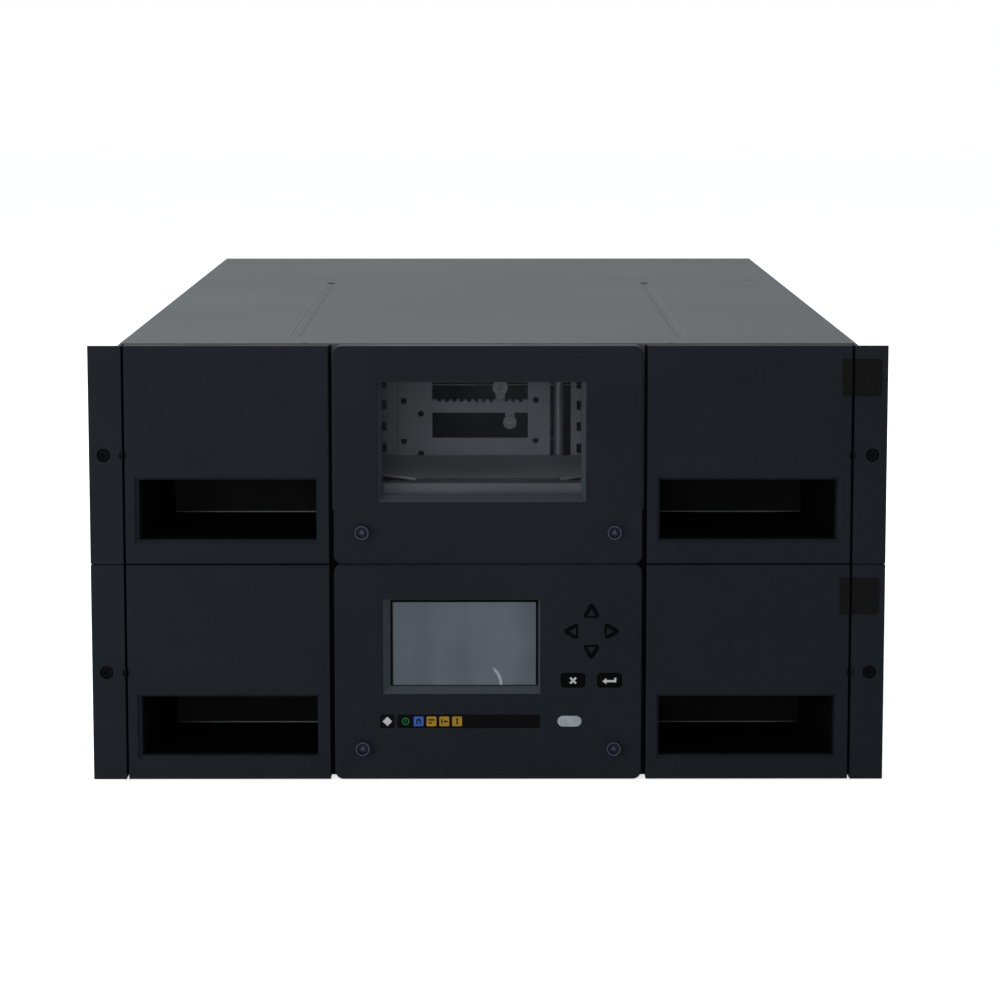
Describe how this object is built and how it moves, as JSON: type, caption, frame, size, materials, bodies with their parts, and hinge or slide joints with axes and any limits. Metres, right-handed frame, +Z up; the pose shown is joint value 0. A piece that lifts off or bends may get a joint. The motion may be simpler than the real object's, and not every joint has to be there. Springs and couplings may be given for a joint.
{
  "type": "data tape library",
  "caption": "Rack-mount tape library of stacked modules with sliding cartridge magazines, a picking robot, drives, a window and a control panel.",
  "frame": {"origin": "middle of the underside of the whole object at rest", "axes": "+X to the right seen from the front, -Y out of the front, +Z up"},
  "size_m": [0.4826, 0.87, 0.2667],
  "materials": {
    "chassis_steel": "grey satin sheet metal",
    "cover_paint": "grey satin paint with a faint texture",
    "panel_black": "near-black moulded plastic with a fine texture",
    "ear_black": "near-black powder coat",
    "window_clear": "clear flat pane",
    "screen_grey": "unlit display behind a clear cover",
    "strip_black": "black lens",
    "light_tint": "tinted light guides",
    "board_green": "circuit board",
    "screw_dark": "dark turned metal",
    "magazine_grey": "dark grey moulded plastic",
    "cartridge_plastic": "fine textured cartridge shell",
    "key_black": "black key",
    "power_silver": "silver button",
    "rail_steel": "bare steel",
    "robot_metal": "dark grey anodised metal",
    "rod_steel": "ground steel rod",
    "pulley_metal": "turned pulley",
    "roller_rubber": "ribbed rubber",
    "drive_metal": "plated drive case",
    "sled_steel": "plated sheet steel",
    "supply_metal": "plated case",
    "socket_black": "black socket body",
    "fan_black": "black fan rotor",
    "wire_steel": "plated wire"
  },
  "bodies": {
    "library": {"bottom_cover": "chassis_steel", "top_cover": "cover_paint", "lower_chassis": "chassis_steel", "upper_chassis": "chassis_steel", "magazine_decks": "chassis_steel", "left_rack_ears": "ear_black", "right_rack_ears": "ear_black", "window_bezel": "panel_black", "window_pane": "window_clear", "control_bezel": "panel_black", "display": "screen_grey", "light_strip": "strip_black", "light_guides": "light_tint", "control_board": "board_green", "captive_screws": "screw_dark", "aisle_rails": "rail_steel", "tape_drives": "drive_metal", "drive_sleds": "sled_steel", "power_supplies": "supply_metal", "mains_inlets": "socket_black", "fan_grilles": "wire_steel", "control_cards": "sled_steel", "port_blocks": "socket_black", "rear_screws": "screw_dark"},
    "lower_left_magazine": {"lower_left_magazine_front": "panel_black", "lower_left_magazine_frame": "magazine_grey", "lower_left_cartridges": "cartridge_plastic"},
    "lower_right_magazine": {"lower_right_magazine_front": "panel_black", "lower_right_magazine_frame": "magazine_grey", "lower_right_cartridges": "cartridge_plastic"},
    "upper_left_magazine": {"upper_left_magazine_front": "panel_black", "upper_left_magazine_frame": "magazine_grey", "upper_left_cartridges": "cartridge_plastic"},
    "upper_right_magazine": {"upper_right_magazine_front": "panel_black", "upper_right_magazine_frame": "magazine_grey", "upper_right_cartridges": "cartridge_plastic"},
    "up_key": {"up_key": "key_black"},
    "down_key": {"down_key": "key_black"},
    "left_key": {"left_key": "key_black"},
    "right_key": {"right_key": "key_black"},
    "cancel_key": {"cancel_key": "key_black"},
    "enter_key": {"enter_key": "key_black"},
    "power_button": {"power_button": "power_silver"},
    "carriage": {"robot_carriage": "robot_metal"},
    "mast": {"turntable": "robot_metal", "left_column": "robot_metal", "right_column": "robot_metal", "outer_column": "robot_metal", "left_comb": "robot_metal", "guide_rod": "rod_steel", "mast_ties": "robot_metal"},
    "upper_pulley": {"upper_pulley": "pulley_metal"},
    "lower_pulley": {"lower_pulley": "pulley_metal"},
    "picker": {"picker_tray": "robot_metal", "picker_deck": "robot_metal"},
    "hook": {"cartridge_hook": "rail_steel"},
    "left_roller": {"left_feed_roller": "roller_rubber"},
    "right_roller": {"right_feed_roller": "roller_rubber"},
    "lower_fan": {"lower_fan": "fan_black"},
    "upper_fan": {"upper_fan": "fan_black"}
  },
  "joints": [
    {"name": "lower_left_magazine_slide", "type": "slide", "parent": "library", "child": "lower_left_magazine", "axis": [0, -1, 0], "range_m": [0, 0.44]},
    {"name": "lower_right_magazine_slide", "type": "slide", "parent": "library", "child": "lower_right_magazine", "axis": [0, -1, 0], "range_m": [0, 0.44]},
    {"name": "upper_left_magazine_slide", "type": "slide", "parent": "library", "child": "upper_left_magazine", "axis": [0, -1, 0], "range_m": [0, 0.44]},
    {"name": "upper_right_magazine_slide", "type": "slide", "parent": "library", "child": "upper_right_magazine", "axis": [0, -1, 0], "range_m": [0, 0.44]},
    {"name": "up_key_press", "type": "slide", "parent": "library", "child": "up_key", "axis": [0, 1, 0], "range_m": [0, 0.0008], "stiffness_N_per_m": 400, "springref_m": -0.002},
    {"name": "down_key_press", "type": "slide", "parent": "library", "child": "down_key", "axis": [0, 1, 0], "range_m": [0, 0.0008], "stiffness_N_per_m": 400, "springref_m": -0.002},
    {"name": "left_key_press", "type": "slide", "parent": "library", "child": "left_key", "axis": [0, 1, 0], "range_m": [0, 0.0008], "stiffness_N_per_m": 400, "springref_m": -0.002},
    {"name": "right_key_press", "type": "slide", "parent": "library", "child": "right_key", "axis": [0, 1, 0], "range_m": [0, 0.0008], "stiffness_N_per_m": 400, "springref_m": -0.002},
    {"name": "cancel_key_press", "type": "slide", "parent": "library", "child": "cancel_key", "axis": [0, 1, 0], "range_m": [0, 0.0008], "stiffness_N_per_m": 400, "springref_m": -0.002},
    {"name": "enter_key_press", "type": "slide", "parent": "library", "child": "enter_key", "axis": [0, 1, 0], "range_m": [0, 0.0008], "stiffness_N_per_m": 400, "springref_m": -0.002},
    {"name": "power_button_press", "type": "slide", "parent": "library", "child": "power_button", "axis": [0, 1, 0], "range_m": [0, 0.0008], "stiffness_N_per_m": 400, "springref_m": -0.002},
    {"name": "robot_travel", "type": "slide", "parent": "library", "child": "carriage", "axis": [0, 1, 0], "range_m": [0, 0.405]},
    {"name": "mast_turn", "type": "hinge", "parent": "carriage", "child": "mast", "pos_m": [0, -0.3107, 0.006], "axis": [0, 0, 1], "range_deg": [-90, 180]},
    {"name": "picker_lift", "type": "slide", "parent": "mast", "child": "picker", "axis": [0, 0, 1], "range_m": [-0.146, 0.082]},
    {"name": "hook_reach", "type": "slide", "parent": "picker", "child": "hook", "axis": [0, -1, 0], "range_m": [0, 0.042]},
    {"name": "left_roller_turn", "type": "hinge", "parent": "picker", "child": "left_roller", "pos_m": [-0.057, -0.3507, 0.1666], "axis": [0, 0, 1], "continuous": true},
    {"name": "right_roller_turn", "type": "hinge", "parent": "picker", "child": "right_roller", "pos_m": [0.057, -0.3507, 0.1666], "axis": [0, 0, 1], "continuous": true},
    {"name": "upper_pulley_turn", "type": "hinge", "parent": "mast", "child": "upper_pulley", "pos_m": [0.008, -0.2595, 0.2242], "axis": [0, 1, 0], "continuous": true},
    {"name": "lower_pulley_turn", "type": "hinge", "parent": "mast", "child": "lower_pulley", "pos_m": [0.0143, -0.2595, 0.2012], "axis": [0, 1, 0], "continuous": true},
    {"name": "lower_fan_spin", "type": "hinge", "parent": "library", "child": "lower_fan", "pos_m": [-0.186, 0.411, 0.0336], "axis": [0, 1, 0], "continuous": true},
    {"name": "upper_fan_spin", "type": "hinge", "parent": "library", "child": "upper_fan", "pos_m": [-0.186, 0.411, 0.16575], "axis": [0, 1, 0], "continuous": true}
  ],
  "couplings": [
    {"joint": "right_roller_turn", "follows": "left_roller_turn", "ratio": -1}
  ]
}
